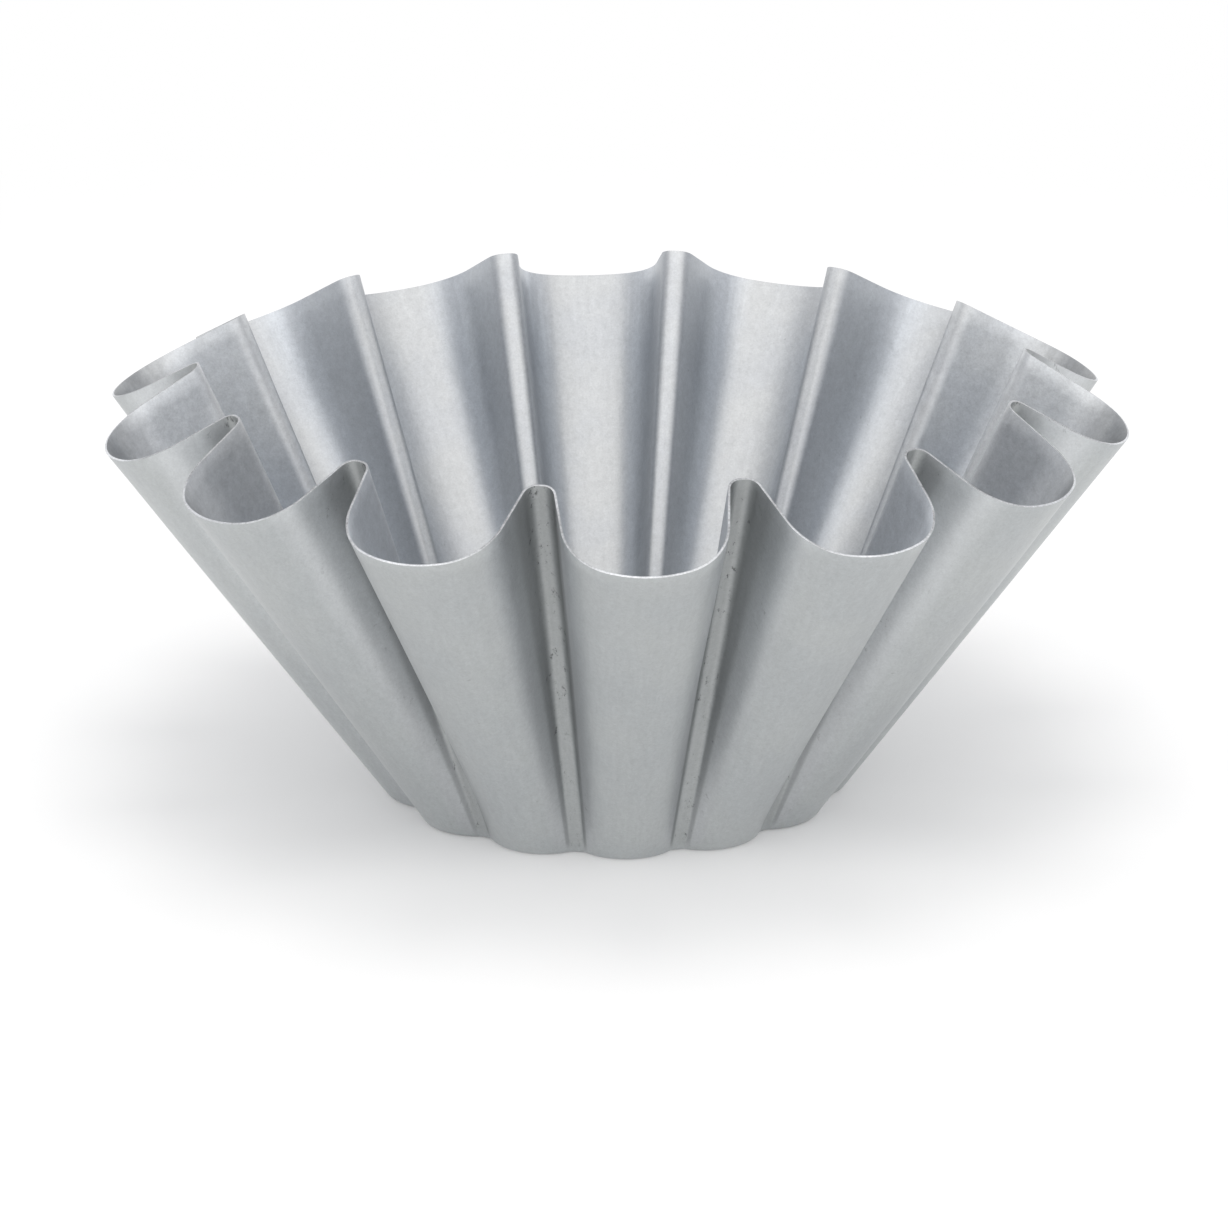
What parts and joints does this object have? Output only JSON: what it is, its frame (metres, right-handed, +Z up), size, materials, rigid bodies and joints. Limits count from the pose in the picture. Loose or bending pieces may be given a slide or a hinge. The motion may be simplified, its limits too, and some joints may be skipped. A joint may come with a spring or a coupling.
{
  "type": "brioche mould",
  "caption": "Deep fluted brioche mould pressed from one sheet of silver-coated steel, with a small flat base and a scalloped open rim.",
  "frame": {"origin": "middle of the underside of the flat base", "axes": "+Z up along the mould's own axis, out of its mouth; flute_01 is centred on -Y, the side nearest the viewer of the picture; folds lie on +X and -X"},
  "size_m": [0.2156, 0.22, 0.0954],
  "materials": {
    "coated_steel": "satin, silvery metal coating on thin pressed steel sheet, with faint pressing marks"
  },
  "bodies": {
    "root": {"base": "coated_steel", "flute_01": "coated_steel", "flute_02": "coated_steel", "flute_03": "coated_steel", "flute_04": "coated_steel", "flute_05": "coated_steel", "flute_06": "coated_steel", "flute_07": "coated_steel", "flute_08": "coated_steel", "flute_09": "coated_steel", "flute_10": "coated_steel", "flute_11": "coated_steel", "flute_12": "coated_steel", "flute_13": "coated_steel", "flute_14": "coated_steel", "fold_01": "coated_steel", "fold_02": "coated_steel", "fold_03": "coated_steel", "fold_04": "coated_steel", "fold_05": "coated_steel", "fold_06": "coated_steel", "fold_07": "coated_steel", "fold_08": "coated_steel", "fold_09": "coated_steel", "fold_10": "coated_steel", "fold_11": "coated_steel", "fold_12": "coated_steel", "fold_13": "coated_steel", "fold_14": "coated_steel"}
  },
  "joints": []
}
